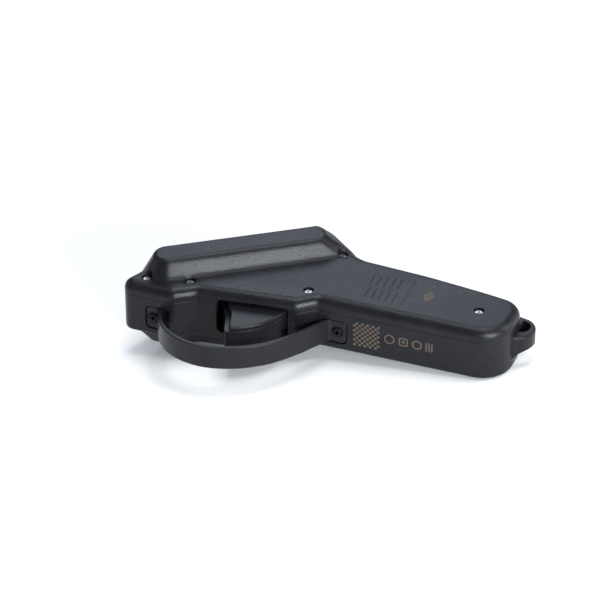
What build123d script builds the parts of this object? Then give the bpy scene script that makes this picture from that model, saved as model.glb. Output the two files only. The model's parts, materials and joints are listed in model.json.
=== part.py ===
from build123d import *
import math
import os

os.makedirs("parts", exist_ok=True)

# ---------------------------------------------------------------- driving dimensions (mm)
# Working frame: X along the grip towards the butt, Y away from the trigger side, Z across the
# thickness, z = 0 on the grip's lower face.  The finished assembly is laid down at the end.
THICK = 24.6          # grip thickness
PART_Z = 18.5         # height of the parting line
HUMP = 8.0            # how far the head swells past the grip's lower face
HUMP_UP = 7.65        # and past its upper face
WALL = 2.8            # casing wall
HEAD_ANG = 35.0       # angle of the display face to the grip's axis
FACE_N = 27.8         # distance of the display face from the working origin
TOP_R = 4.5           # upper edge rounding
LOW_R = 1.8           # lower edge rounding
PIVOT = (-25.7, -13.9)
TRIG_R = 27.1         # sweep radius of the trigger
TRIG_Z0, TRIG_Z1 = 5.3, 18.6
PIN_R = 1.5
SLOT_X0, SLOT_X1 = -29.4, 3.4   # trigger opening in the front wall
STRAP_T = 2.0
STRAP_Z0, STRAP_Z1 = 3.8, 14.6
SCREWS = [(80.7, 1.7), (7.4, -9.2), (-61.5, -24.3), (-43.0, -20.4), (11.4, 22.6)]
GUARD_SCREW_Z = 9.2
NOSE_Y = -31.6
GRIP_Y = -13.8
FRONT_SCREW_X = -55.9
REAR_SCREW_X = 22.3
BTN_U = 10.4
BTN_Z = (1.6, 11.6, 22.6)
BTN_R = 3.6
BTN_TRAVEL = 0.6
WIN_U0, WIN_U1, WIN_Z0, WIN_Z1 = -49.5, 3.0, -3.6, 27.0
EYE = (97.2, 8.8)      # centre of the half-round lanyard eye
EYE_R = 4.5

# plan outline of the casing: point, corner radius
OUTLINE = [
    ((-73.05, -31.6), 4.6), ((-46.6, -31.6), 5.0), ((-38.0, -25.3), 8.0), ((5.8, -19.9), 5.2),
    ((13.4, -13.8), 5.0), ((97.0, -13.8), 13.8), ((97.0, 15.3), 10.0), ((80.0, 18.4), 100.0),
    ((52.0, 22.0), 160.0), ((21.5, 24.1), 12.0), ((13.0, 28.3), 10.0), ((-1.5, 32.85), 6.2),
    ((-63.8, -10.74), 14.0),
]
# foot of the lower swelling, and its flat
LOW_FOOT = [((-66.2, -29.6), 3.6), ((-47.6, -29.6), 5.0), ((-38.6, -23.2), 9.0), ((4.4, -17.8), 5.0),
            ((22.0, 20.0), 8.0), ((4.0, 41.0), 1.0), ((-52.0, 3.0), 1.0), ((-66.2, -24.4), 6.0)]
LOW_FLAT = [((-61.2, -25.3), 3.6), ((-49.2, -25.3), 5.0), ((-40.2, -18.9), 9.0), ((-0.5, -13.9), 5.0),
            ((12.0, 19.0), 8.0), ((2.0, 37.5), 1.0), ((-48.0, 3.0), 1.0), ((-61.2, -20.0), 6.0)]

HR = Rot(0, 0, HEAD_ANG)


def plan(points, z=0.0, grow=0.0):
    """Rounded closed outline at height z, moved outwards by grow."""
    wire = FilletPolyline(*[p for p, _ in points], radius=[r for _, r in points], close=True)
    face = make_face(wire)
    if grow:
        face = offset(face, grow, kind=Kind.ARC)
    return Pos(0, 0, z) * face


def hbox(u0, u1, n0, n1, z0, z1):
    """Box square to the display face: u along it, n out of it."""
    return HR * Pos((u0 + u1) / 2, (n0 + n1) / 2, (z0 + z1) / 2) * Box(u1 - u0, n1 - n0, z1 - z0)


def hrod(u, z, n0, n1, r):
    return HR * Pos(u, (n0 + n1) / 2, z) * Rot(90, 0, 0) * Cylinder(r, n1 - n0)


def box(x0, x1, y0, y1, z0, z1):
    return Pos((x0 + x1) / 2, (y0 + y1) / 2, (z0 + z1) / 2) * Box(x1 - x0, y1 - y0, z1 - z0)


def hplate(u0, u1, n0, n1, z0, z1, r):
    """Plate square to the display face with rounded corners."""
    f = Rot(90, 0, 0) * RectangleRounded(u1 - u0, z1 - z0, r)
    return HR * Pos((u0 + u1) / 2, n1, (z0 + z1) / 2) * extrude(f, n1 - n0)


def rod(x, y, z0, z1, r):
    return Pos(x, y, (z0 + z1) / 2) * Cylinder(r, z1 - z0)


def rodx(x0, x1, y, z, r):
    return Pos((x0 + x1) / 2, y, z) * Rot(0, 90, 0) * Cylinder(r, x1 - x0)


def rody(x, y0, y1, z, r):
    return Pos(x, (y0 + y1) / 2, z) * Rot(90, 0, 0) * Cylinder(r, y1 - y0)


def soft(shape, edges, *radii):
    """Round edges with the largest of the radii that the shape takes."""
    for r in radii:
        try:
            made = fillet(edges, r)
            if made.is_valid and made.volume > 0:
                return made
        except Exception:
            pass
    print("edge left sharp")
    return shape


def top_hump(d, back, top):
    """Upper swelling of the head: d moves its sloping sides in, back the display side."""
    def section(dz):
        n0 = 10.5 + 0.5625 * dz + d
        u0 = -67.2 + 0.78 * dz + 1.2 * d
        u1 = 25.6 - 1.25 * dz - 1.4 * d
        n1 = FACE_N - back
        pts = [(u0, n0), (u1, n0), (u1, n1), (u0 + 0.273 * (n1 - n0), n1)]
        f = make_face(FilletPolyline(*pts, radius=[8.5 - 0.43 * dz - d, 4.8 - d, 5.5 - d, 7.3 - d], close=True))
        return Pos(0, 0, THICK + dz) * (HR * f)
    return loft([section(-7.0).faces()[0], section(top).faces()[0]], ruled=True)


def low_hump(d, depth):
    k = depth / HUMP
    mid = [((a[0][0] + (b[0][0] - a[0][0]) * k, a[0][1] + (b[0][1] - a[0][1]) * k), a[1])
           for a, b in zip(LOW_FOOT, LOW_FLAT)]
    return loft([plan(LOW_FOOT, 0, -d).faces()[0], plan(mid, -depth, -d).faces()[0]], ruled=True)


# ---------------------------------------------------------------- outer form of the casing
prism_face = plan(OUTLINE)
base = extrude(prism_face, THICK)
base = soft(base, base.edges().group_by(Axis.Z)[-1], TOP_R, 5.0, 4.0)
base = soft(base, base.edges().group_by(Axis.Z)[0], LOW_R, 1.5)
tall = Pos(0, 0, -20) * extrude(prism_face, 80)
hump_u = top_hump(0, 0, HUMP_UP)
hump_u = soft(hump_u, hump_u.edges().group_by(Axis.Z)[-1], 2.9, 2.8, 2.5) & tall
hump_d = low_hump(0, HUMP) & tall
hump_d = soft(hump_d, hump_d.edges().group_by(Axis.Z)[0], 2.5, 2.0, 1.5)
hump_d += (extrude(plan(LOW_FOOT), 4.0) & tall)
outer = base + hump_u + hump_d
# fine groove along the parting line
outer = outer - extrude(plan(OUTLINE, PART_Z - 0.12, 1.0) - plan(OUTLINE, PART_Z - 0.12, -0.15), 0.24)
print("outer", outer.is_valid, round(outer.volume), len(outer.solids()))

# ---------------------------------------------------------------- hollow inside
inner_face = plan(OUTLINE, 0, -WALL)
inner = Pos(0, 0, WALL) * extrude(inner_face, THICK - 2 * WALL)
inner = soft(inner, inner.edges().group_by(Axis.Z)[-1], 3.0, 2.5, 2.0)
inner_tall = Pos(0, 0, -20) * extrude(inner_face, 80)
inner += top_hump(3.2, WALL, HUMP_UP - WALL) & inner_tall
low_in = low_hump(3.2, HUMP - WALL) & inner_tall
inner += low_in
inner += extrude(plan(LOW_FOOT, 0, -3.2), WALL + 1) & inner_tall
print("inner", inner.is_valid, round(inner.volume), len(inner.solids()))

# bosses for the casing screws, the trigger pin, the board and the guard's nuts
boss_all = None
for x, y in SCREWS:
    b = rod(x, y, -9, THICK + 3, 3.3)
    boss_all = b if boss_all is None else boss_all + b
px, py = PIVOT
boss_all += rod(px, py, -9, TRIG_Z0 - 0.4, 3.3) + rod(px, py, TRIG_Z1 + 0.4, THICK, 3.3)
boss_all += box(FRONT_SCREW_X - 5.0, FRONT_SCREW_X + 6.5, NOSE_Y, NOSE_Y + 6.6, 3.0, 16.5)
boss_all += box(REAR_SCREW_X - 7.0, REAR_SCREW_X + 6.5, GRIP_Y, GRIP_Y + 6.6, 1.0, 14.8)
BOARD_POSTS = [(20.0, 19.0), (72.0, -8.0), (71.0, 14.6)]
for x, y in BOARD_POSTS:
    boss_all += rod(x, y, 0, 15.0, 2.1)
# walled pocket that the trigger swings in, closed off from the electronics
boss_all += rod(px, py, TRIG_Z0 - 2.4, TRIG_Z1 + 1.5, TRIG_R + 2.9) & box(-34.2, 5.2, -60, -4.0, 0, 25)
boss_all += rod(px, py, 1.2, TRIG_Z1 + 1.5, 8.4)
swing = (rod(px, py, TRIG_Z0 - 0.6, TRIG_Z1 + 0.5, TRIG_R + 0.9) & box(-32.2, 3.2, -21.8, -6.0, 0, 25)) + rod(px, py, TRIG_Z0 - 0.6, TRIG_Z1 + 0.5, 6.6)
swing += rod(px, py, 2.95, 4.8, 5.3) - rod(px, py, 2, 6, 3.3)
swing += box(-16.6, -12.8, -16.8, -13.0, TRIG_Z1, TRIG_Z1 + 2.0)
void = inner - boss_all

upper_half = Pos(10, 0, PART_Z + 50) * Box(400, 400, 100)
lower_half = Pos(10, 0, PART_Z - 50) * Box(400, 400, 100)

# ---------------------------------------------------------------- openings in the casing
trig_slot = box(SLOT_X0, SLOT_X1, -40.0, -19.5, 3.5, 20.5)
trig_slot = soft(trig_slot, trig_slot.edges().filter_by(Axis.Y), 2.6, 2.0)
window_cut = hplate(WIN_U0, WIN_U1, 20.0, 40.0, WIN_Z0, WIN_Z1, 2.6)
btn_holes = None
for z in BTN_Z:
    h = hrod(BTN_U, z, 20, 40, BTN_R + 0.3)
    btn_holes = h if btn_holes is None else btn_holes + h
front_recess = box(-59.6, -48.4, -40, NOSE_Y + 2.4, 3.4, 15.0)
front_recess = soft(front_recess, front_recess.edges().filter_by(Axis.Y), 2.5, 1.6)
rear_recess = box(14.6, 26.9, -40, GRIP_Y + 2.4, 3.4, 15.0)
rear_recess = soft(rear_recess, rear_recess.edges().filter_by(Axis.Y), 2.5, 1.6)
insert_box = box(90.0, 120.0, -3.0, 13.6, 2.6, PART_Z)
screw_cuts = None
insert_cuts = None
for x, y in SCREWS:
    c = rod(x, y, THICK - 2.4, THICK + 20, 2.3) + rod(x, y, PART_Z - 1, THICK, 1.3)
    screw_cuts = c if screw_cuts is None else screw_cuts + c
    c = rod(x, y, 11.0, PART_Z + 1, 1.7)
    insert_cuts = c if insert_cuts is None else insert_cuts + c
pin_cut = rod(px, py, TRIG_Z0 - 5.4, THICK - 1.6, PIN_R)
nut_cuts = rody(FRONT_SCREW_X, NOSE_Y - 1, NOSE_Y + 6.7, GUARD_SCREW_Z, 1.8) + rody(REAR_SCREW_X, GRIP_Y - 1, GRIP_Y + 6.7, GUARD_SCREW_Z, 1.8)

# ---------------------------------------------------------------- casing halves
top_shell = (outer & upper_half) - (void & upper_half)
top_shell = top_shell - screw_cuts - trig_slot - swing - window_cut - btn_holes - pin_cut
bottom_shell = (outer & lower_half) - (void & lower_half)
bottom_shell = bottom_shell - insert_cuts - trig_slot - swing - window_cut - btn_holes - pin_cut
bottom_shell = bottom_shell - front_recess - rear_recess - nut_cuts
# seal groove and its cord
seal_out = plan(OUTLINE, PART_Z - 0.8, -0.9)
seal_in = plan(OUTLINE, PART_Z - 0.8, -1.9)
seal_ring = extrude(seal_out, 0.8) - extrude(seal_in, 0.8)
seal_keep = box(-34.5, 6.0, -40, -10, 0, 30) + box(89.5, 110, -3.5, 14.2, 0, 30) + hbox(WIN_U0 - 1.5, WIN_U1 + 1.5, 20, 40, 0, 30) + hrod(BTN_U, BTN_Z[2], 20, 40, BTN_R + 1.2)
seal_ring = seal_ring - seal_keep
bottom_shell = bottom_shell - seal_ring
print("top", top_shell.is_valid, len(top_shell.solids()), "bottom", bottom_shell.is_valid, len(bottom_shell.solids()))

# ---------------------------------------------------------------- butt insert with the lanyard eye
insert_skin = (outer & box(90.0, 120.0, -2.9, 13.5, 2.7, PART_Z - 0.06)) - inner
eye_outline = [(93.0, 17.2), (96.6, 16.0), (99.9, 15.0), (102.6, 12.6), (104.0, 9.1), (103.7, 5.4), (101.9, 2.2), (99.0, 0.0), (95.2, -1.8)]
eye_face = make_face(Curve() + [Spline(*eye_outline), Line(eye_outline[-1], (92.0, -2.2)), Line((92.0, -2.2), (92.0, 17.2)), Line((92.0, 17.2), eye_outline[0])])
eye_body = Pos(0, 0, 9.0) * extrude(eye_face, 7.0)
eye_body = soft(eye_body, [e for e in eye_body.edges() if abs((e @ 0.5).Z - 16.0) < 0.01 and (e @ 0.5).X > 96], 1.0, 0.7)
flare = make_face(Curve() + [Line((90, 2.9), (96.0, 2.9)), ThreePointArc((96.0, 2.9), (98.6, 7.0), (103.4, 9.0)), Line((103.4, 9.0), (90, 9.0)), Line((90, 9.0), (90, 2.9))])
flare = Pos(0, 20.0, 0) * extrude(Plane.XZ * flare, 30.0, both=True)
flare = flare & (Pos(0, 0, 2.9) * extrude(eye_face, 6.1))
eye_gap = rod(EYE[0], EYE[1], 0, 30, EYE_R) & box(97.0, 110, -20, 30, 0, 30)
eye_body = (eye_body + flare) - eye_gap
insert_zone = box(90, 120, -2.9, 13.5, 2.7, PART_Z - 0.06)
butt_insert = insert_skin + ((eye_body - inner) & (insert_zone + box(90, 120, -6, 20, 2.7, 17) - tall))
bottom_shell = bottom_shell - insert_box
print("insert", butt_insert.is_valid, len(butt_insert.solids()))

# ---------------------------------------------------------------- casing screws and inserts
shell_screws, screw_inserts = None, None
for x, y in SCREWS:
    zt = THICK - 2.4
    s = rod(x, y, zt, zt + 1.5, 1.95)
    s = soft(s, s.edges().group_by(Axis.Z)[-1], 0.5)
    s = s + rod(x, y, 12.0, zt, 1.0)
    s = s - (Pos(x, y, zt + 1.1) * Box(1.6, 0.45, 0.9)) - (Pos(x, y, zt + 1.1) * Box(0.45, 1.6, 0.9))
    shell_screws = s if shell_screws is None else shell_screws + s
    i = rod(x, y, 13.5, PART_Z - 0.3, 1.7) - rod(x, y, 13.0, PART_Z, 1.0)
    screw_inserts = i if screw_inserts is None else screw_inserts + i

# ---------------------------------------------------------------- trigger guard, a bent strip
OUTER_PTS = [(-51.6, -36.9), (-48.3, -42.0), (-43.5, -46.5), (-37.0, -49.9), (-30.0, -51.6), (-22.6, -51.5),
             (-14.2, -49.2), (-6.4, -45.4), (-0.7, -41.2), (4.6, -35.7), (9.9, -28.5), (14.5, -20.9)]
t0 = Vector(0.42, -0.907, 0).normalized()
t1 = Vector(0.50, 0.866, 0).normalized()
loop_line = Spline(*OUTER_PTS, tangents=[t0, t1])


def strip_side(d):
    """One long side of the strip: d = 0 is the outer side, STRAP_T the inner."""
    out = []
    n = 26
    for i in range(n + 1):
        p, t = loop_line @ (i / n), loop_line % (i / n)
        out.append((p.X - t.Y * d, p.Y + t.X * d))
    return out


def line_hit(p, t, y):
    k = (y - p[1]) / t.Y
    return (p[0] + t.X * k, y)


def strip_path(d):
    tab_f = NOSE_Y + 0.2 + d          # front tab
    tab_r = GRIP_Y + 0.2 + d          # rear tab
    side = strip_side(d)
    a, b = side[0], side[-1]
    ca, cb = line_hit(a, t0, tab_f), line_hit(b, t1, tab_r)
    return side, a, b, ca, cb, tab_f, tab_r


def bend(p0, corner, p1, r):
    """Tangent arc at a corner between two straight runs: start, middle, end."""
    c, a, b = Vector(*corner), Vector(*p0), Vector(*p1)
    ua, ub = (a - c).normalized(), (b - c).normalized()
    half = math.acos(max(-1, min(1, ua.dot(ub)))) / 2
    k = r / math.tan(half)
    s, e = c + ua * k, c + ub * k
    o = c + (ua + ub).normalized() * (r / math.sin(half))
    m = o + (c - o).normalized() * r
    return (s.X, s.Y), (m.X, m.Y), (e.X, e.Y)


so, ao, bo, cao, cbo, tfo, tro = strip_path(0.0)
si, ai, bi, cai, cbi, tfi, tri = strip_path(STRAP_T)
X0, X1 = -59.2, 26.4
f_o = bend((X0, tfo), cao, ao, 2.0)
f_i = bend((X0, tfi), cai, ai, 2.0 + STRAP_T)
r_o = bend(bo, cbo, (X1, tro), 2.0)
r_i = bend(bi, cbi, (X1, tri), 2.0 + STRAP_T)
edges = [
    Line((X0, tfo), f_o[0]), ThreePointArc(*f_o), Line(f_o[2], ao),
    Spline(*so, tangents=[t0, t1]),
    Line(bo, r_o[0]), ThreePointArc(*r_o), Line(r_o[2], (X1, tro)), Line((X1, tro), (X1, tri)),
    Line((X1, tri), r_i[2]), ThreePointArc(*r_i), Line(r_i[0], bi),
    Spline(*si, tangents=[t0, t1]),
    Line(ai, f_i[2]), ThreePointArc(*f_i), Line(f_i[0], (X0, tfi)), Line((X0, tfi), (X0, tfo)),
]
strap_face = make_face(Curve() + edges)
trigger_guard = Pos(0, 0, STRAP_Z0) * extrude(strap_face, STRAP_Z1 - STRAP_Z0)
ends = [e for e in trigger_guard.edges().filter_by(Axis.Y) if abs((e @ 0.5).X - X0) < 0.05 or abs((e @ 0.5).X - X1) < 0.05]
trigger_guard = soft(trigger_guard, ends, 2.2, 1.6)
rim = trigger_guard.edges().group_by(Axis.Z)[-1] + trigger_guard.edges().group_by(Axis.Z)[0]
trigger_guard = soft(trigger_guard, rim, 0.45, 0.3)
for x, y in ((FRONT_SCREW_X, NOSE_Y), (REAR_SCREW_X, GRIP_Y)):
    trigger_guard -= rody(x, y - 1, y + 4, GUARD_SCREW_Z, 1.35)
    trigger_guard -= rody(x, y - 1, y + 1.2, GUARD_SCREW_Z, 2.5)
print("guard", trigger_guard.is_valid, len(trigger_guard.solids()))

guard_screws, guard_nuts = None, None
for x, y in ((FRONT_SCREW_X, NOSE_Y), (REAR_SCREW_X, GRIP_Y)):
    h = rody(x, y - 0.5, y + 1.2, GUARD_SCREW_Z, 2.3)
    h = soft(h, h.edges().group_by(Axis.Y)[0], 0.6, 0.4)
    s = h + rody(x, y + 1.2, y + 6.0, GUARD_SCREW_Z, 1.2)
    s = s - (Pos(x, y - 0.5 + 0.6, GUARD_SCREW_Z) * Rot(90, 0, 0) * extrude(RegularPolygon(0.85, 6), 0.7, both=True))
    guard_screws = s if guard_screws is None else guard_screws + s
    g = rody(x, y + 2.5, y + 6.6, GUARD_SCREW_Z, 1.8) - rody(x, y + 2, y + 7, GUARD_SCREW_Z, 1.2)
    guard_nuts = g if guard_nuts is None else guard_nuts + g

# ---------------------------------------------------------------- trigger
def polar(r, deg):
    return (px + r * math.cos(math.radians(deg)), py + r * math.sin(math.radians(deg)))


A_END = -7.0


def lever(a_tip, side, r_arc, z0, z1, edge_r):
    """Slice of the trigger between two heights: arc behind the finger, hollowed finger side."""
    tip, end, mid = polar(r_arc, a_tip), polar(r_arc, A_END), polar(r_arc, (a_tip + A_END) / 2)
    hub_in = (px - 5.4, py + 0.6)
    face = make_face(Curve() + [
        ThreePointArc(tip, mid, end), Line(end, (px + 8.0, py + 4.2)), Line((px + 8.0, py + 4.2), (px + 1.0, py + 5.4)),
        ThreePointArc((px + 1.0, py + 5.4), (px - 4.0, py + 3.9), hub_in),
        Line(hub_in, side[-1]), Spline(*reversed([tip] + side))])
    body = Pos(0, 0, z0) * extrude(face, z1 - z0)
    if edge_r:
        picked = [e for e in body.edges() if abs((e @ 0.5).Z - z1) < 0.01 and math.dist(((e @ 0.5).X, (e @ 0.5).Y), (px, py)) > 9.0]
        body = soft(body, picked, edge_r, edge_r * 0.7, edge_r * 0.4)
    return body


CHEEK_SIDE = [(-18.8, -35.7), (-20.1, -31.2), (-21.8, -27.4), (-25.6, -21.9), (-29.0, -18.0)]
BODY_SIDE = [(-21.2, -35.2), (-22.5, -31.2), (-24.2, -27.2), (-27.2, -22.2), (-30.0, -17.8)]
# a raised cheek stands a little inside the broad lower body, with a fine groove between them
trigger = lever(-71.6, CHEEK_SIDE, TRIG_R, 16.6, TRIG_Z1, 0.9)
NECK_SIDE = [(x + 0.45, y) for x, y in CHEEK_SIDE]
neck = lever(-71.0, NECK_SIDE, TRIG_R - 0.7, 14.0, 17.4, 0) & box(-60, px + 40, -60, py + 1.6, 0, 30)
trigger += neck
low_body = lever(-76.3, BODY_SIDE, TRIG_R, TRIG_Z0, 16.2, 0)
tip_edge = [e for e in low_body.edges().filter_by(Axis.Z) if math.dist(((e @ 0.5).X, (e @ 0.5).Y), polar(TRIG_R, -76.3)) < 0.2]
low_body = soft(low_body, tip_edge, 1.0, 0.7, 0.5)
low_body = soft(low_body, [e for e in low_body.edges() if abs((e @ 0.5).Z - 16.2) < 0.01 and math.dist(((e @ 0.5).X, (e @ 0.5).Y), (px, py)) > 12.0], 0.3)
trigger += low_body
trigger = trigger - rod(px, py, TRIG_Z0 - 1, TRIG_Z1 + 1, 2.4) - rod(*polar(12.0, -25.0), TRIG_Z1 - 3.2, TRIG_Z1 + 1, 2.0)
print("trigger", trigger.is_valid, len(trigger.solids()))
trigger_pin = rod(px, py, TRIG_Z0 - 5.4, THICK - 1.7, PIN_R)
trigger_bushes = None
for z0, z1 in ((TRIG_Z0, TRIG_Z0 + 4.0), (TRIG_Z1 - 4.0, TRIG_Z1)):
    b = rod(px, py, z0, z1, 2.4) - rod(px, py, z0 - 1, z1 + 1, PIN_R + 0.05)
    trigger_bushes = b if trigger_bushes is None else trigger_bushes + b
trigger_magnet = rod(*polar(12.0, -25.0), TRIG_Z1 - 3.2, TRIG_Z1 - 0.2, 2.0)
# return spring round the lower post
coil = sweep(Plane(origin=(4.3, 0, 0), z_dir=(0, 1, 0.02)) * Circle(0.32), path=Helix(0.75, 1.5, 4.3))
trigger_spring = Pos(px, py, 3.35) * (coil)
print("spring", trigger_spring.is_valid)

# ---------------------------------------------------------------- display side
rim_n = FACE_N
display_window = hplate(WIN_U0 + 0.15, WIN_U1 - 0.15, rim_n - 1.8, rim_n - 0.25, WIN_Z0 + 0.15, WIN_Z1 - 0.15, 2.45)
window_seal = hplate(WIN_U0 + 0.2, WIN_U1 - 0.2, rim_n - 2.6, rim_n - 1.8, WIN_Z0 + 0.2, WIN_Z1 - 0.2, 2.4) - hplate(WIN_U0 + 3.0, WIN_U1 - 3.0, 20, 40, WIN_Z0 + 2.4, WIN_Z1 - 2.4, 1.0)
display_frame = hplate(WIN_U0 + 0.4, WIN_U1 - 0.4, rim_n - 7.0, rim_n - 2.6, WIN_Z0 + 0.4, WIN_Z1 - 0.4, 2.2) - hbox(WIN_U0 + 2.0, WIN_U1 - 2.0, 19, 40, WIN_Z0 + 1.6, WIN_Z1 - 1.6)
lcd_module = hbox(WIN_U0 + 2.1, WIN_U1 - 2.1, rim_n - 5.2, rim_n - 2.7, WIN_Z0 + 1.7, WIN_Z1 - 1.7)
display_board = hbox(WIN_U0 + 2.1, WIN_U1 - 2.1, rim_n - 6.8, rim_n - 5.6, WIN_Z0 + 1.7, WIN_Z1 - 1.7)
lcd_foam = hbox(WIN_U0 + 6, WIN_U1 - 6, rim_n - 5.6, rim_n - 5.2, WIN_Z0 + 5, WIN_Z1 - 5)

buttons = []
for z in BTN_Z:
    b = hrod(BTN_U, z, rim_n - 3.4, rim_n + 0.7, BTN_R)
    front = [e for e in b.edges() if abs(-math.sin(math.radians(HEAD_ANG)) * (e @ 0.5).X + math.cos(math.radians(HEAD_ANG)) * (e @ 0.5).Y - (rim_n + 0.7)) < 0.01]
    b = soft(b, front, 0.8, 0.5)
    b = b + hrod(BTN_U, z, rim_n - 3.8, rim_n - 3.1, BTN_R + 0.85)
    buttons.append(b)
power_button, plus_button, minus_button = buttons
button_membrane = hbox(BTN_U - 4.8, BTN_U + 4.8, rim_n - 5.4, rim_n - 4.6, -2.9, 27.0)
tact_switches = None
for z in BTN_Z:
    s = hbox(BTN_U - 2.2, BTN_U + 2.2, rim_n - 8.4, rim_n - 6.4, z - 2.2, z + 2.2) + hrod(BTN_U, z, rim_n - 6.4, rim_n - 5.4, 1.2)
    tact_switches = s if tact_switches is None else tact_switches + s
button_board = hbox(BTN_U - 5.0, BTN_U + 4.0, rim_n - 9.6, rim_n - 8.4, -3.0, 27.0)

# ---------------------------------------------------------------- electronics in the head and grip
hall_board = box(-20.0, -8.6, -16.6, -9.4, 20.1, 20.9)
hall_sensor = box(-16.2, -13.2, -16.4, -13.4, 19.3, 20.1)
bx0, bx1, by0, by1 = 14.0, 75.0, -9.8, 16.0
main_board = box(16.6, 75.0, -10.4, 16.0, 15.0, 16.2) + box(16.6, 24.5, 15.9, 20.6, 15.0, 16.2)
for x, y in BOARD_POSTS:
    main_board -= rod(x, y, 14, 17, 1.2)
board_screws = None
for x, y in BOARD_POSTS:
    s = rod(x, y, 16.2, 17.3, 1.8) + rod(x, y, 10.0, 16.2, 0.9)
    board_screws = s if board_screws is None else board_screws + s
board_cut = board_screws
processor = box(40, 49, -4, 5, 16.2, 17.3)
radio_can = box(24, 37, -3, 12, 16.2, 18.6)
antenna = box(56, 68, 8, 13.5, 16.2, 17.0)
buzzer = rod(63.5, -2.0, 16.2, 19.4, 4.5)
battery_cell = box(24.5, 67.5, -6.2, 14.2, 5.2, 13.2)
battery_cell = soft(battery_cell, battery_cell.edges().filter_by(Axis.X), 2.6, 2.0)
battery_foam = box(27, 65, -5, 13, 13.2, 14.0)
battery_plug = box(17.2, 21.8, -1.5, 3.5, 11.0, 15.0)
battery_leads = rodx(21.8, 24.5, 0.2, 12.2, 0.55) + rodx(21.8, 24.5, 2.0, 12.2, 0.55)
coil_ferrite = box(30, 60, -5.5, 13.5, 4.4, 5.2)
charge_coil = rod(45, 4.0, 3.4, 4.4, 9.0) - rod(45, 4.0, 3.0, 5, 4.5)
haptic_motor = rodx(76.5, 86.5, 8.5, 8.0, 3.4) - rodx(76.0, 78.5, 8.5, 8.0, 0.42)
motor_shaft = rodx(74.2, 77.6, 8.5, 8.0, 0.35)
haptic_weight = (rodx(72.6, 75.6, 8.5, 8.0, 2.9) - box(72, 76, 5, 12, 8.9, 13)) + motor_shaft
motor_cradle = box(79.0, 85.0, 4.2, 12.8, 2.0, 7.0) - rodx(70, 90, 8.5, 8.0, 3.4)
bottom_shell = bottom_shell + (motor_cradle & lower_half)
bottom_shell = bottom_shell - board_cut

# ---------------------------------------------------------------- laying the assembly down
# The remote rests on the lower swelling and the butt.  REST carries the working frame to the
# stored one: floor at z = 0, origin under the middle of the bounding box.
REST_UP = (-0.0861455579, 0.0335296508, 0.9957181857)
REST_ORIGIN = (18.0334987, -10.2352466, -6.4162421)
REST = Plane(origin=REST_ORIGIN, x_dir=(REST_UP[2], 0.0, -REST_UP[0]), z_dir=REST_UP).location.inverse()

NODES = dict(
    top_shell=top_shell, bottom_shell=bottom_shell, rim_seal=seal_ring, butt_insert=butt_insert,
    shell_screws=shell_screws, screw_inserts=screw_inserts, trigger_guard=trigger_guard,
    guard_screws=guard_screws, guard_nuts=guard_nuts, trigger=trigger, trigger_pin=trigger_pin,
    trigger_bushes=trigger_bushes, trigger_spring=trigger_spring, trigger_magnet=trigger_magnet,
    display_window=display_window, window_seal=window_seal, display_frame=display_frame,
    lcd_module=lcd_module, lcd_foam=lcd_foam, display_board=display_board,
    power_button=power_button, plus_button=plus_button, minus_button=minus_button,
    button_membrane=button_membrane, tact_switches=tact_switches, button_board=button_board,
    hall_board=hall_board, hall_sensor=hall_sensor, main_board=main_board, board_screws=board_screws,
    processor=processor, radio_can=radio_can, antenna=antenna, buzzer=buzzer,
    battery_cell=battery_cell, battery_foam=battery_foam, battery_plug=battery_plug,
    battery_leads=battery_leads, coil_ferrite=coil_ferrite, charge_coil=charge_coil,
    haptic_motor=haptic_motor, haptic_weight=haptic_weight,
)
for name, shape in NODES.items():
    shape = REST * shape
    export_step(shape, f"parts/{name}.step")
    print(name, shape.is_valid, len(shape.solids()), round(shape.volume, 1))
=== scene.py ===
import bpy
import bmesh
import json
import math
from mathutils import Matrix, Vector


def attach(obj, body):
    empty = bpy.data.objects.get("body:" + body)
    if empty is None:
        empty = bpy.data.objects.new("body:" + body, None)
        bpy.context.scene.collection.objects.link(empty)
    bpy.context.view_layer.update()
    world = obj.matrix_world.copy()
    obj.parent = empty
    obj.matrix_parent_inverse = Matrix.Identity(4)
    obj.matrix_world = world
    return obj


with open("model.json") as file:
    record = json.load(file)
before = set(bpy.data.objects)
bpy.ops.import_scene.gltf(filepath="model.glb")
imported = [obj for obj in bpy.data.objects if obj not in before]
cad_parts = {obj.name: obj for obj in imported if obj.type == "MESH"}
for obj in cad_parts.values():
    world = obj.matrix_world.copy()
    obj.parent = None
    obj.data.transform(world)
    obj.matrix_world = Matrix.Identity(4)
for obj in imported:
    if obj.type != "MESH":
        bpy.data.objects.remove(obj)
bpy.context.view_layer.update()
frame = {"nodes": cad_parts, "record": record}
nodes = frame["nodes"]
scene = bpy.context.scene

# ---------------------------------------------------------------- frames
# working frame of the remote (mm): X along the grip, Y away from the trigger, Z through the casing;
# REST carries it to the stored frame (metres), where the remote lies on the floor.
UP = Vector((-0.0861455579, 0.0335296508, 0.9957181857)).normalized()
XD = Vector((UP.z, 0.0, -UP.x)).normalized()
YD = UP.cross(XD)
ORIGIN = Vector((18.0334987, -10.2352466, -6.4162421)) / 1000.0
R3 = Matrix((XD, YD, UP))
REST = R3.to_4x4()
REST.translation = -(R3 @ ORIGIN)
TURN = Matrix.Rotation(math.radians(20.8), 4, "Z")   # view frame (right, away, up) to the working frame
VIEW = REST @ TURN
HEAD = math.radians(35.0)
HU = Vector((math.cos(HEAD), math.sin(HEAD), 0))
HN = Vector((-math.sin(HEAD), math.cos(HEAD), 0))
THICK, FACE_N = 24.6, 27.8


def W(x, y, z):
    """Working millimetres to stored metres."""
    return REST @ (Vector((x, y, z)) / 1000.0)


def on_head(u, n, z):
    p = HU * u + HN * n
    return (p.x, p.y, z)


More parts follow.
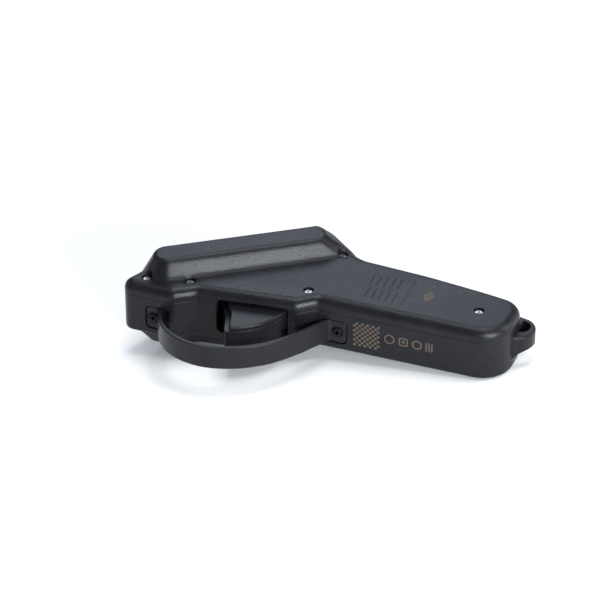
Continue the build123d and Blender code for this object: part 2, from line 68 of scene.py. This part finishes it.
# ---------------------------------------------------------------- camera
F_PX, MM_PX, ELEV = 2900.0, 0.435, math.radians(33.5)
dist = F_PX * MM_PX / 1000.0
fwd = Vector((0, math.cos(ELEV), -math.sin(ELEV)))
right = Vector((1, 0, 0))
up = right.cross(fwd)
M = Matrix((right, up, -fwd)).transposed().to_4x4()
M.translation = Vector((0, 0, 0.012)) - fwd * dist
cam_data = bpy.data.cameras.new("view")
cam = bpy.data.objects.new("view", cam_data)
scene.collection.objects.link(cam)
cam.matrix_world = VIEW @ M
cam_data.sensor_width = 36.0
cam_data.lens = 36.0 * F_PX / 600.0
cam_data.clip_start, cam_data.clip_end = 0.05, 20.0
scene.camera = cam


# ---------------------------------------------------------------- node helpers
class Net:
    """Small helper to write a node tree."""

    def __init__(self, name):
        self.mat = bpy.data.materials.new(name)
        self.mat.use_nodes = True
        self.t = self.mat.node_tree
        self.b = self.t.nodes["Principled BSDF"]
        self.tc = self.t.nodes.new("ShaderNodeTexCoord")

    def node(self, kind, **props):
        n = self.t.nodes.new(kind)
        for k, v in props.items():
            setattr(n, k, v)
        return n

    def link(self, a, b):
        self.t.links.new(a, b)

    def set(self, sock, value):
        if hasattr(value, "is_linked") or hasattr(value, "links"):
            self.link(value, sock)
        else:
            sock.default_value = value

    def coord(self):
        return self.tc.outputs["Object"]

    def noise(self, scale, detail=2.0, rough=0.5, vec=None, distort=0.0):
        n = self.node("ShaderNodeTexNoise")
        n.inputs["Scale"].default_value = scale
        n.inputs["Detail"].default_value = detail
        n.inputs["Roughness"].default_value = rough
        n.inputs["Distortion"].default_value = distort
        self.link(vec or self.coord(), n.inputs["Vector"])
        return n.outputs["Fac"]

    def voronoi(self, scale, vec=None, out="Distance", feature="F1", rand=1.0):
        n = self.node("ShaderNodeTexVoronoi", feature=feature)
        n.inputs["Scale"].default_value = scale
        n.inputs["Randomness"].default_value = rand
        self.link(vec or self.coord(), n.inputs["Vector"])
        return n.outputs[out]

    def math(self, op, a, b=0.0, c=None, clamp=False):
        n = self.node("ShaderNodeMath", operation=op, use_clamp=clamp)
        self.set(n.inputs[0], a)
        self.set(n.inputs[1], b)
        if c is not None:
            self.set(n.inputs[2], c)
        return n.outputs[0]

    def remap(self, v, a, b, lo, hi, smooth=False):
        n = self.node("ShaderNodeMapRange", clamp=True)
        if smooth:
            n.interpolation_type = "SMOOTHSTEP"
        self.link(v, n.inputs["Value"])
        for k, x in (("From Min", a), ("From Max", b), ("To Min", lo), ("To Max", hi)):
            n.inputs[k].default_value = x
        return n.outputs["Result"]

    def mix(self, fac, a, b, kind="MIX"):
        n = self.node("ShaderNodeMix", data_type="RGBA", blend_type=kind)
        self.set(n.inputs[0], fac)
        self.set(n.inputs[6], a if not isinstance(a, tuple) else (*a, 1.0)[:4])
        self.set(n.inputs[7], b if not isinstance(b, tuple) else (*b, 1.0)[:4])
        return n.outputs[2]

    def bump(self, height, strength, distance, normal=None):
        n = self.node("ShaderNodeBump")
        n.inputs["Strength"].default_value = strength
        n.inputs["Distance"].default_value = distance
        self.link(height, n.inputs["Height"])
        if normal is not None:
            self.link(normal, n.inputs["Normal"])
        return n.outputs["Normal"]

    def edge(self, radius, samples=4):
        """Rounded normal, and a mask that is 1 on sharp edges."""
        bev = self.node("ShaderNodeBevel", samples=samples)
        bev.inputs["Radius"].default_value = radius
        geo = self.node("ShaderNodeNewGeometry")
        dot = self.node("ShaderNodeVectorMath", operation="DOT_PRODUCT")
        self.link(bev.outputs["Normal"], dot.inputs[0])
        self.link(geo.outputs["Normal"], dot.inputs[1])
        mask = self.remap(dot.outputs["Value"], 0.995, 0.86, 0.0, 1.0)
        return bev.outputs["Normal"], mask

    def along(self, axis, offset=0.0):
        """Signed distance (m) of the surface point along a stored-frame direction."""
        dot = self.node("ShaderNodeVectorMath", operation="DOT_PRODUCT")
        self.link(self.coord(), dot.inputs[0])
        dot.inputs[1].default_value = axis
        return self.math("SUBTRACT", dot.outputs["Value"], offset)


def rgb(r, g, b):
    """sRGB 0-255 to linear."""
    def f(c):
        c /= 255.0
        return c / 12.92 if c <= 0.04045 else ((c + 0.055) / 1.055) ** 2.4
    return (f(r), f(g), f(b), 1.0)


def moulded(name, base, rough=0.5, grain=1.0, spec=0.4, wear=0.35, dust=0.25, edge_r=0.00018, cell=2300.0, blended=False):
    """Spark-eroded moulded plastic: fine pebble grain, soft mottling, handled edges a little polished."""
    m = Net(name)
    pebble = m.noise(cell, 3.0, 0.62)
    coarse = m.voronoi(cell * 0.9, feature="SMOOTH_F1")
    mottle = m.noise(95.0, 4.0, 0.55)
    cloud = m.noise(22.0, 3.0, 0.5, distort=0.4)
    normal, edge = m.edge(edge_r)
    if blended:
        # the sloping side of the upper swelling runs out into the upper face in a soft hollow
        ax_n, ax_z = R3 @ HN, R3 @ Vector((0, 0, 1))
        high = m.along(ax_z, W(0, 0, THICK).dot(ax_z))
        out = m.along(ax_n, W(*on_head(0, 0, 0)).dot(ax_n))
        zone = m.math("MULTIPLY", m.remap(high, -0.0005, 0.0, 0.0, 1.0), m.math("MULTIPLY", m.remap(out, 0.003, 0.005, 0.0, 1.0), m.remap(out, 0.0150, 0.0170, 1.0, 0.0)))
        wide = m.node("ShaderNodeBevel", samples=8)
        wide.inputs["Radius"].default_value = 0.0030
        both = m.node("ShaderNodeMix", data_type="VECTOR")
        m.link(zone, both.inputs[0])
        m.link(normal, both.inputs[4])
        m.link(wide.outputs["Normal"], both.inputs[5])
        # and turns gently away at its nose end
        ax_u = R3 @ HU
        run = m.along(ax_u, W(0, 0, 0).dot(ax_u))
        turn = m.math("MULTIPLY", m.remap(run, -0.0625, -0.0530, 1.0, 0.0, smooth=True), m.remap(run, -0.0660, -0.0615, 0.0, 0.55))
        lean = m.node("ShaderNodeVectorMath", operation="SCALE")
        lean.inputs[0].default_value = -ax_u
        m.link(m.math("MULTIPLY", turn, zone), lean.inputs["Scale"])
        total = m.node("ShaderNodeVectorMath", operation="ADD")
        m.link(both.outputs[1], total.inputs[0])
        m.link(lean.outputs[0], total.inputs[1])
        unit = m.node("ShaderNodeVectorMath", operation="NORMALIZE")
        m.link(total.outputs[0], unit.inputs[0])
        normal = unit.outputs[0]
    # colour: cloudy base, darker pits, pale scuffed edges and a trace of dust
    c1 = tuple(v * 0.86 for v in base[:3]) + (1.0,)
    c2 = tuple(min(1.0, v * 1.18 + 0.0006) for v in base[:3]) + (1.0,)
    col = m.mix(m.remap(mottle, 0.3, 0.7, 0.0, 1.0), c1, c2)
    pits = m.remap(pebble, 0.33, 0.62, 0.72, 1.12)
    pit_n = m.node("ShaderNodeMix", data_type="RGBA", blend_type="MULTIPLY")
    pit_n.inputs[0].default_value = 1.0
    comb = m.node("ShaderNodeCombineColor")
    for k in range(3):
        m.link(pits, comb.inputs[k])
    m.link(col, pit_n.inputs[6])
    m.link(comb.outputs[0], pit_n.inputs[7])
    col = pit_n.outputs[2]
    worn = m.math("MULTIPLY", edge, m.remap(m.noise(420.0, 3.0, 0.6), 0.38, 0.66, 0.1, wear))
    lift = tuple(min(1.0, v * 2.6 + 0.012) for v in base[:3]) + (1.0,)
    col = m.mix(worn, col, lift)
    specks = m.remap(m.noise(1500.0, 2.0, 0.5), 0.735, 0.80, 0.0, dust)
    col = m.mix(specks, col, (0.16, 0.16, 0.165, 1.0))
    m.link(col, m.b.inputs["Base Color"])
    r = m.math("ADD", m.remap(cloud, 0.3, 0.7, rough - 0.045, rough + 0.055), m.remap(pebble, 0.35, 0.65, -0.05, 0.05))
    r = m.math("SUBTRACT", r, m.math("MULTIPLY", worn, 0.12), clamp=True)
    m.link(r, m.b.inputs["Roughness"])
    m.b.inputs["Specular IOR Level"].default_value = spec
    h = m.math("ADD", pebble, m.math("MULTIPLY", coarse, 0.3))
    m.link(m.bump(h, 0.62 * grain, 0.00014, normal), m.b.inputs["Normal"])
    return m.mat


def rubber(name, base, rough=0.62, spec=0.35):
    m = Net(name)
    grain = m.noise(7000.0, 2.0, 0.5)
    smear = m.noise(160.0, 4.0, 0.6, distort=0.6)
    normal, edge = m.edge(0.00012)
    col = m.mix(m.remap(smear, 0.3, 0.7, 0.0, 1.0), tuple(v * 0.85 for v in base[:3]), tuple(v * 1.25 for v in base[:3]))
    col = m.mix(m.math("MULTIPLY", edge, 0.25), col, tuple(v * 2.2 + 0.01 for v in base[:3]))
    m.link(col, m.b.inputs["Base Color"])
    m.link(m.remap(smear, 0.25, 0.75, rough - 0.09, rough + 0.08), m.b.inputs["Roughness"])
    m.b.inputs["Specular IOR Level"].default_value = spec
    m.link(m.bump(grain, 0.22, 0.00003, normal), m.b.inputs["Normal"])
    return m.mat


def metal(name, base, rough=0.25, brushed=None, scale=900.0, dirt=0.35, metallic=1.0):
    """Machined or plated metal with tool marks, wiped dirt and small scratches."""
    m = Net(name)
    vec = m.coord()
    if brushed:
        mp = m.node("ShaderNodeMapping")
        mp.inputs["Scale"].default_value = brushed
        m.link(vec, mp.inputs["Vector"])
        vec = mp.outputs["Vector"]
    lines = m.noise(scale, 4.0, 0.65, vec=vec)
    smear = m.noise(340.0, 4.0, 0.6, distort=0.5)
    normal, edge = m.edge(0.00008)
    dark = tuple(v * (1.0 - dirt) for v in base[:3])
    col = m.mix(m.remap(smear, 0.35, 0.65, 0.0, 1.0), dark, base[:3])
    col = m.mix(m.math("MULTIPLY", edge, 0.4), col, tuple(min(1.0, v * 1.25 + 0.02) for v in base[:3]))
    m.link(col, m.b.inputs["Base Color"])
    m.b.inputs["Metallic"].default_value = metallic
    m.link(m.math("ADD", m.remap(smear, 0.3, 0.7, rough - 0.06, rough + 0.09), m.remap(lines, 0.3, 0.7, -0.05, 0.07), clamp=True), m.b.inputs["Roughness"])
    m.link(m.bump(lines, 0.18, 0.00002, normal), m.b.inputs["Normal"])
    return m.mat


def board(name, base):
    """Circuit board: solder mask with tracks and pads showing through."""
    m = Net(name)
    tracks = m.voronoi(620.0, feature="DISTANCE_TO_EDGE", rand=0.75)
    lines = m.remap(tracks, 0.02, 0.06, 1.0, 0.0)
    dots = m.remap(m.voronoi(900.0, rand=0.3), 0.10, 0.14, 1.0, 0.0)
    col = m.mix(m.math("MULTIPLY", lines, 0.55), base[:3], tuple(min(1.0, v * 2.1 + 0.02) for v in base[:3]))
    col = m.mix(m.math("MULTIPLY", dots, 0.8), col, (0.62, 0.55, 0.36))
    m.link(col, m.b.inputs["Base Color"])
    m.link(m.remap(m.noise(300.0, 3.0, 0.5), 0.3, 0.7, 0.28, 0.42), m.b.inputs["Roughness"])
    m.link(m.bump(m.math("ADD", lines, dots), 0.3, 0.00004), m.b.inputs["Normal"])
    return m.mat


def marking(name, base):
    """Laser marking: pale tan burn, a little patchy."""
    m = Net(name)
    fine = m.noise(9000.0, 2.0, 0.6)
    patch = m.noise(700.0, 3.0, 0.55)
    col = m.mix(m.remap(patch, 0.3, 0.7, 0.0, 1.0), tuple(v * 0.72 for v in base[:3]), tuple(v * 1.15 for v in base[:3]))
    m.link(col, m.b.inputs["Base Color"])
    m.link(m.remap(fine, 0.3, 0.7, 0.62, 0.82), m.b.inputs["Roughness"])
    m.b.inputs["Specular IOR Level"].default_value = 0.25
    m.link(m.bump(fine, 0.4, 0.00002), m.b.inputs["Normal"])
    return m.mat


# ---------------------------------------------------------------- materials
CASE = rgb(19, 20, 25)
mats = {
    "casing": moulded("casing_plastic", CASE, rough=0.31, grain=1.0, spec=0.22, cell=2400.0, blended=True),
    "insert": moulded("insert_plastic", rgb(20, 20, 23), rough=0.34, grain=0.9, spec=0.20),
    "guard": moulded("guard_plastic", rgb(22, 22, 26), rough=0.36, grain=0.6, spec=0.22, wear=0.5, edge_r=0.0004),
    "lever": moulded("lever_plastic", rgb(22, 22, 26), rough=0.34, grain=0.4, spec=0.20, wear=0.5, cell=3600.0, edge_r=0.00045),
    "seal": rubber("seal_rubber", rgb(26, 26, 27)),
    "foam": rubber("foam_rubber", rgb(60, 60, 62), rough=0.85, spec=0.1),
    "key": rubber("key_silicone", rgb(38, 38, 41), rough=0.55),
    "bright_screw": metal("bright_screw_steel", (0.55, 0.55, 0.56), rough=0.36, dirt=0.5),
    "black_screw": metal("black_oxide_screw", (0.022, 0.022, 0.024), rough=0.4, dirt=0.3),
    "brass": metal("brass_insert", (0.70, 0.50, 0.20), rough=0.26, brushed=(1, 1, 8)),
    "steel": metal("ground_steel", (0.56, 0.56, 0.58), rough=0.22, brushed=(1, 1, 12)),
    "shield": metal("tinned_shield", (0.66, 0.66, 0.67), rough=0.33, brushed=(1, 8, 1)),
    "magnet": metal("nickel_magnet", (0.66, 0.64, 0.60), rough=0.14),
    "copper": metal("enamelled_copper", (0.72, 0.33, 0.17), rough=0.3, scale=1500.0),
    "bush": moulded("acetal_bush", (0.62, 0.60, 0.55, 1.0), rough=0.4, grain=0.3, wear=0.1, dust=0.0),
    "frame_plastic": moulded("frame_plastic", rgb(46, 46, 48), rough=0.6, grain=0.8),
    "switch": moulded("switch_plastic", rgb(70, 70, 72), rough=0.5, grain=0.5),
    "chip": moulded("chip_epoxy", rgb(40, 40, 41), rough=0.58, grain=0.8, dust=0.0),
    "ceramic": moulded("antenna_ceramic", (0.62, 0.61, 0.55, 1.0), rough=0.45, grain=0.4, dust=0.0),
    "plug": moulded("nylon_plug", (0.66, 0.62, 0.50, 1.0), rough=0.42, grain=0.3, dust=0.0),
    "lead": rubber("lead_insulation", (0.42, 0.02, 0.018, 1.0), rough=0.45),
    "ferrite": moulded("ferrite", rgb(52, 51, 50), rough=0.7, grain=1.2, dust=0.0),
    "cell_wrap": metal("cell_foil", (0.52, 0.53, 0.55), rough=0.38, dirt=0.15, metallic=0.7),
    "pcb": board("circuit_board", (0.012, 0.085, 0.040, 1.0)),
}


def glass_front():
    m = Net("smoked_window")
    ax_u = R3 @ HU
    ax_z = R3 @ Vector((0, 0, 1))
    c = W(*on_head(-23.25, 27.0, 11.7))
    u = m.math("ABSOLUTE", m.along(ax_u, c.dot(ax_u)))
    z = m.math("ABSOLUTE", m.along(ax_z, c.dot(ax_z)))
    over = m.math("MAXIMUM", m.math("SUBTRACT", u, 0.0222), m.math("SUBTRACT", z, 0.0115))
    ring = m.remap(over, -0.00004, 0.00004, 0.0, 1.0)
    smear = m.noise(45.0, 4.0, 0.6, distort=0.8)
    fine = m.noise(1800.0, 2.0, 0.5)
    m.link(m.mix(ring, (0.30, 0.31, 0.33), (0.004, 0.004, 0.005)), m.b.inputs["Base Color"])
    m.link(m.remap(ring, 0.0, 1.0, 0.93, 0.0), m.b.inputs["Transmission Weight"])
    m.b.inputs["IOR"].default_value = 1.49
    m.link(m.math("ADD", m.remap(smear, 0.35, 0.7, 0.03, 0.10), m.remap(fine, 0.4, 0.7, 0.0, 0.02)), m.b.inputs["Roughness"])
    m.link(m.bump(fine, 0.04, 0.00001), m.b.inputs["Normal"])
    return m.mat


def lcd_surface():
    """Dark display glass with a fine pixel raster."""
    m = Net("display_surface")
    ax_u, ax_z = R3 @ HU, R3 @ Vector((0, 0, 1))
    u, z = m.along(ax_u), m.along(ax_z)
    px = m.math("ABSOLUTE", m.math("SINE", m.math("MULTIPLY", u, 12000.0)))
    pz = m.math("ABSOLUTE", m.math("SINE", m.math("MULTIPLY", z, 12000.0)))
    raster = m.math("MULTIPLY", px, pz)
    glow = m.noise(30.0, 2.0, 0.5)
    col = m.mix(m.remap(raster, 0.1, 0.7, 0.0, 1.0), (0.006, 0.007, 0.009), (0.016, 0.020, 0.026))
    m.link(col, m.b.inputs["Base Color"])
    m.link(m.remap(glow, 0.3, 0.7, 0.12, 0.22), m.b.inputs["Roughness"])
    m.link(m.bump(raster, 0.05, 0.00001), m.b.inputs["Normal"])
    return m.mat


def lit(name, colour, power):
    """Lit display segment: even glow with a raster."""
    m = Net(name)
    raster = m.voronoi(5200.0, rand=0.0)
    col = m.mix(m.remap(raster, 0.25, 0.6, 0.0, 1.0), colour, tuple(v * 0.55 for v in colour))
    m.link(col, m.b.inputs["Base Color"])
    m.link(col, m.b.inputs["Emission Color"])
    m.b.inputs["Emission Strength"].default_value = power
    m.link(m.remap(raster, 0.2, 0.6, 0.3, 0.45), m.b.inputs["Roughness"])
    return m.mat


mats["window"] = glass_front()
mats["lcd"] = lcd_surface()
TAN = marking("laser_mark", rgb(86, 75, 66))
PRINT = marking("key_print", rgb(196, 196, 198))
LIT = lit("display_segments", (0.62, 0.80, 0.90), 0.9)
LIT_DIM = lit("display_segments_dim", (0.20, 0.27, 0.31), 0.25)
LIT_GREEN = lit("display_level", (0.22, 0.72, 0.34), 0.8)


# ---------------------------------------------------------------- smooth shading on the CAD nodes
def shading_group(angle=27.0):
    g = bpy.data.node_groups.new("shade_by_angle", "GeometryNodeTree")
    g.interface.new_socket("Geometry", in_out="INPUT", socket_type="NodeSocketGeometry")
    g.interface.new_socket("Geometry", in_out="OUTPUT", socket_type="NodeSocketGeometry")
    gi, go = g.nodes.new("NodeGroupInput"), g.nodes.new("NodeGroupOutput")
    face = g.nodes.new("GeometryNodeSetShadeSmooth")
    face.domain = "FACE"
    face.inputs["Shade Smooth"].default_value = True
    edge = g.nodes.new("GeometryNodeSetShadeSmooth")
    edge.domain = "EDGE"
    ang = g.nodes.new("GeometryNodeInputMeshEdgeAngle")
    cmp_ = g.nodes.new("FunctionNodeCompare")
    cmp_.data_type, cmp_.operation = "FLOAT", "GREATER_THAN"
    cmp_.inputs[1].default_value = math.radians(angle)
    g.links.new(ang.outputs["Unsigned Angle"], cmp_.inputs[0])
    edge.inputs["Shade Smooth"].default_value = False
    g.links.new(gi.outputs[0], face.inputs["Geometry"])
    g.links.new(face.outputs["Geometry"], edge.inputs["Geometry"])
    g.links.new(cmp_.outputs[0], edge.inputs["Selection"])
    g.links.new(edge.outputs["Geometry"], go.inputs[0])
    return g


SHADE = shading_group()


def soften(obj):
    w = obj.modifiers.new("join_faces", "WELD")
    w.merge_threshold = 2e-6
    n = obj.modifiers.new("shade_by_angle", "NODES")
    n.node_group = SHADE
    k = obj.modifiers.new("even_normals", "WEIGHTED_NORMAL")
    k.mode = "FACE_AREA"
    k.weight = 50
    k.keep_sharp = True


slot_of = {s["node"]: s.get("material_slot") for s in frame["record"]["subparts"]}
for name, obj in nodes.items():
    mat = mats[slot_of[name]]
    if len(obj.material_slots) == 0:
        obj.data.materials.append(mat)
    for s in obj.material_slots:
        s.material = mat
    soften(obj)


# ---------------------------------------------------------------- thin raised pieces
def make(name, bm, mat, body, smooth=False):
    me = bpy.data.meshes.new(name)
    bmesh.ops.recalc_face_normals(bm, faces=bm.faces)
    bm.to_mesh(me)
    bm.free()
    for p in me.polygons:
        p.use_smooth = smooth
    me.materials.append(mat)
    o = bpy.data.objects.new(name, me)
    scene.collection.objects.link(o)
    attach(o, body)
    return o


def slab(bm, pts, place, low, high, taper=0.0):
    """Closed thin prism over a plane outline; place(a, b, h) gives the stored point, taper draws the top in."""
    n = len(pts)
    ca, cb = sum(p[0] for p in pts) / n, sum(p[1] for p in pts) / n
    bot = [bm.verts.new(place(a, b, low)) for a, b in pts]
    top = []
    for a, b in pts:
        d = math.hypot(a - ca, b - cb) or 1.0
        k = 1.0 - taper / d
        top.append(bm.verts.new(place(ca + (a - ca) * k, cb + (b - cb) * k, high)))
    bm.faces.new(list(reversed(bot)))
    bm.faces.new(top)
    for i in range(n):
        j = (i + 1) % n
        bm.faces.new((bot[i], bot[j], top[j], top[i]))


def ring_slab(bm, outer, inner, place, low, high):
    """Closed thin frame between two outlines with the same number of points."""
    n = len(outer)
    v = [[bm.verts.new(place(a, b, h)) for a, b in line] for line in (outer, inner) for h in (low, high)]
    ob, ot, ib, it = v
    for i in range(n):
        j = (i + 1) % n
        bm.faces.new((ob[i], ob[j], ot[j], ot[i]))
        bm.faces.new((ib[j], ib[i], it[i], it[j]))
        bm.faces.new((ot[i], ot[j], it[j], it[i]))
        bm.faces.new((ob[j], ob[i], ib[i], ib[j]))


def rect(a0, a1, b0, b1):
    return [(a0, b0), (a1, b0), (a1, b1), (a0, b1)]


def disc(ca, cb, r, n=24, start=0.0):
    return [(ca + r * math.cos(start + 2 * math.pi * i / n), cb + r * math.sin(start + 2 * math.pi * i / n)) for i in range(n)]


def rounded(a0, a1, b0, b1, r, n=5):
    pts = []
    for cx, cy, s in ((a1 - r, b1 - r, 0), (a0 + r, b1 - r, 90), (a0 + r, b0 + r, 180), (a1 - r, b0 + r, 270)):
        for i in range(n + 1):
            t = math.radians(s + 90 * i / n)
            pts.append((cx + r * math.cos(t), cy + r * math.sin(t)))
    return pts


def near_wall(a, b, h):
    """a along the grip, b up the wall, h out of the wall that faces the trigger side."""
    return W(a, -13.8 - h, b)


def top_face(a, b, h):
    return W(a, b, THICK + h)


def screen(a, b, h):
    """a along the display, b across it, h out of the display surface."""
    return W(*on_head(a, FACE_N - 2.7 + h, b))


# plain checker patch beside the rear screw pad
bm = bmesh.new()
px0, pz0, cell_w, cols, rows = 29.6, 4.4, 1.2, 10, 10
for i in range(cols):
    for j in range(rows):
        if (i + j) % 2 == 0:
            a, b = px0 + i * cell_w, pz0 + j * cell_w
            slab(bm, rect(a + 0.04, a + cell_w - 0.04, b + 0.04, b + cell_w - 0.04), near_wall, -0.02, 0.012)
make("mark_patch", bm, TAN, "casing")

# plain shapes beside it
bm = bmesh.new()
ring_slab(bm, disc(46.0, 11.2, 2.35, 32), disc(46.0, 11.2, 1.75, 32), near_wall, -0.02, 0.012)
ring_slab(bm, rounded(50.2, 54.4, 9.1, 13.3, 0.9), rounded(50.8, 53.8, 9.7, 12.7, 0.5), near_wall, -0.02, 0.012)
slab(bm, disc(52.3, 11.2, 0.75, 20), near_wall, -0.02, 0.012)
ring_slab(bm, disc(58.4, 11.2, 2.5, 6, math.radians(30)), disc(58.4, 11.2, 1.8, 6, math.radians(30)), near_wall, -0.02, 0.012)
for k in range(3):
    slab(bm, rect(62.3 + k * 1.25, 62.95 + k * 1.25, 9.0, 13.4), near_wall, -0.02, 0.012)
make("mark_shapes", bm, TAN, "casing")

# small lozenge on the upper face
bm = bmesh.new()
loz = lambda k: [(57.2 + 2.3 * k, 4.3), (57.2, 4.3 + 4.3 * k), (57.2 - 2.3 * k, 4.3), (57.2, 4.3 - 4.3 * k)]
ring_slab(bm, loz(1.0), loz(0.56), top_face, -0.02, 0.012)
slab(bm, loz(0.30), top_face, -0.02, 0.012)
make("mark_lozenge", bm, TAN, "casing")

# faint raised bars and a row of dashes on the upper face
BAR = moulded("bar_plastic", rgb(18, 19, 22), rough=0.38, grain=0.9, spec=0.165, cell=3000.0)
bm = bmesh.new()
for row, (y0, y1) in enumerate(((4.6, 12.6), (-5.4, 2.4))):
    for k in range(5):
        x = 29.6 + k * 3.1 + row * 1.2
        slab(bm, rect(x + 0.3, x + 1.1, y0, y1), top_face, -0.05, 0.05, taper=0.05)
for k in range(10):
    y = -6.6 + k * 2.1
    slab(bm, rect(47.9, 48.5, y, y + 1.35), top_face, -0.05, 0.05, taper=0.05)
make("raised_bars", bm, BAR, "casing")

# ---------------------------------------------------------------- what the display shows
bm = bmesh.new()
n_bars = 14
for k in range(9):
    a = -41.6 + k * 2.4
    slab(bm, rect(a, a + 1.6, 4.6, 6.6 + 0.72 * k), screen, -0.02, 0.03)
ring_slab(bm, rounded(-15.0, -6.0, 15.9, 20.1, 0.6), rounded(-14.5, -6.5, 16.4, 19.6, 0.35), screen, -0.02, 0.03)
slab(bm, rect(-5.9, -5.2, 17.1, 18.9), screen, -0.02, 0.03)
make("display_bars", bm, LIT, "casing")
bm = bmesh.new()
for k in range(9, n_bars):
    a = -41.6 + k * 2.4
    slab(bm, rect(a, a + 1.6, 4.6, 6.6 + 0.72 * k), screen, -0.02, 0.03)
slab(bm, rect(-41.6, -5.2, 3.0, 3.3), screen, -0.02, 0.03)
make("display_bars_dim", bm, LIT_DIM, "casing")
bm = bmesh.new()
for k in range(3):
    a = -14.0 + k * 2.4
    slab(bm, rect(a, a + 1.9, 16.9, 19.1), screen, -0.02, 0.03)
make("display_level", bm, LIT_GREEN, "casing")


# ---------------------------------------------------------------- printed signs on the keys
def key_face(z0):
    def place(a, b, h):
        return W(*on_head(10.4 + a, FACE_N + 0.7 + h, z0 + b))
    return place


bm = bmesh.new()
arc = [math.radians(90 + 38 + (360 - 76) * i / 30) for i in range(31)]
outer = [(1.45 * math.cos(t), 1.45 * math.sin(t)) for t in arc]
inner = [(1.12 * math.cos(t), 1.12 * math.sin(t)) for t in arc]
place = key_face(1.6)
line = outer + inner[::-1]
low, high = [bm.verts.new(place(a, b, -0.02)) for a, b in line], [bm.verts.new(place(a, b, 0.012)) for a, b in line]
m_ = len(arc)
for i in range(m_ - 1):
    o, p = i, i + 1
    q, r_ = len(line) - 1 - i, len(line) - 2 - i
    bm.faces.new((high[o], high[p], high[r_], high[q]))
    bm.faces.new((low[p], low[o], low[q], low[r_]))
    bm.faces.new((low[o], low[p], high[p], high[o]))
    bm.faces.new((low[r_], low[q], high[q], high[r_]))
bm.faces.new((low[0], high[0], high[-1], low[-1]))
bm.faces.new((low[m_ - 1], low[m_], high[m_], high[m_ - 1]))
slab(bm, rect(-0.16, 0.16, 0.35, 1.75), place, -0.02, 0.012)
make("power_sign", bm, PRINT, "power_key")
bm = bmesh.new()
place = key_face(11.6)
plus = [(-1.35, -0.17), (-0.17, -0.17), (-0.17, -1.35), (0.17, -1.35), (0.17, -0.17), (1.35, -0.17),
        (1.35, 0.17), (0.17, 0.17), (0.17, 1.35), (-0.17, 1.35), (-0.17, 0.17), (-1.35, 0.17)]
slab(bm, plus, place, -0.02, 0.012)
make("plus_sign", bm, PRINT, "plus_key")
bm = bmesh.new()
slab(bm, rect(-1.35, 1.35, -0.17, 0.17), key_face(22.6), -0.02, 0.012)
make("minus_sign", bm, PRINT, "minus_key")

# ---------------------------------------------------------------- floor and light
bpy.ops.mesh.primitive_plane_add(size=8.0, location=(0, 0, 0))
floor = bpy.context.object
floor.name = "studio_floor"
m = Net("studio_floor")
haze = m.noise(1.6, 3.0, 0.5)
m.link(m.mix(m.remap(haze, 0.3, 0.7, 0.0, 1.0), (0.86, 0.86, 0.865), (0.90, 0.90, 0.905)), m.b.inputs["Base Color"])
m.b.inputs["Specular IOR Level"].default_value = 0.1
m.link(m.remap(m.noise(40.0, 2.0, 0.5), 0.3, 0.7, 0.82, 0.92), m.b.inputs["Roughness"])
floor.data.materials.append(m.mat)

world = bpy.data.worlds.new("studio")
scene.world = world
world.use_nodes = True
world.node_tree.nodes["Background"].inputs[0].default_value = (0.96, 0.98, 1.0, 1.0)
world.node_tree.nodes["Background"].inputs[1].default_value = 0.22


def softbox(name, where, size, power, look=(0, 0, 0.015), tint=(1, 1, 1)):
    """Area light placed in the view frame (right, away, up), metres."""
    d = bpy.data.lights.new(name, "AREA")
    d.shape = "RECTANGLE"
    d.size, d.size_y = size
    d.energy = power
    d.color = tint
    o = bpy.data.objects.new(name, d)
    scene.collection.objects.link(o)
    p, q = VIEW @ Vector(where), VIEW @ Vector(look)
    o.matrix_world = Matrix.Translation(p) @ (q - p).to_track_quat("-Z", "Y").to_matrix().to_4x4()
    return o


softbox("key_front", (0.56, -1.06, 0.42), (0.52, 0.38), 26.0, tint=(0.92, 0.96, 1.0))
softbox("key_right", (1.05, 0.10, 0.50), (0.40, 0.5), 6.0)
softbox("top_back", (-0.02, 1.15, 0.92), (0.95, 0.55), 6.4, tint=(0.78, 0.87, 1.0))
softbox("left_side", (-1.1, 0.15, 0.45), (0.35, 0.6), 1.2)
softbox("overhead", (0.1, 0.1, 1.7), (0.9, 0.75), 19.0, tint=(0.97, 0.985, 1.0))

scene.view_settings.view_transform = "Standard"
scene.view_settings.look = "None"
scene.view_settings.exposure = 0.0
scene.view_settings.gamma = 1.0
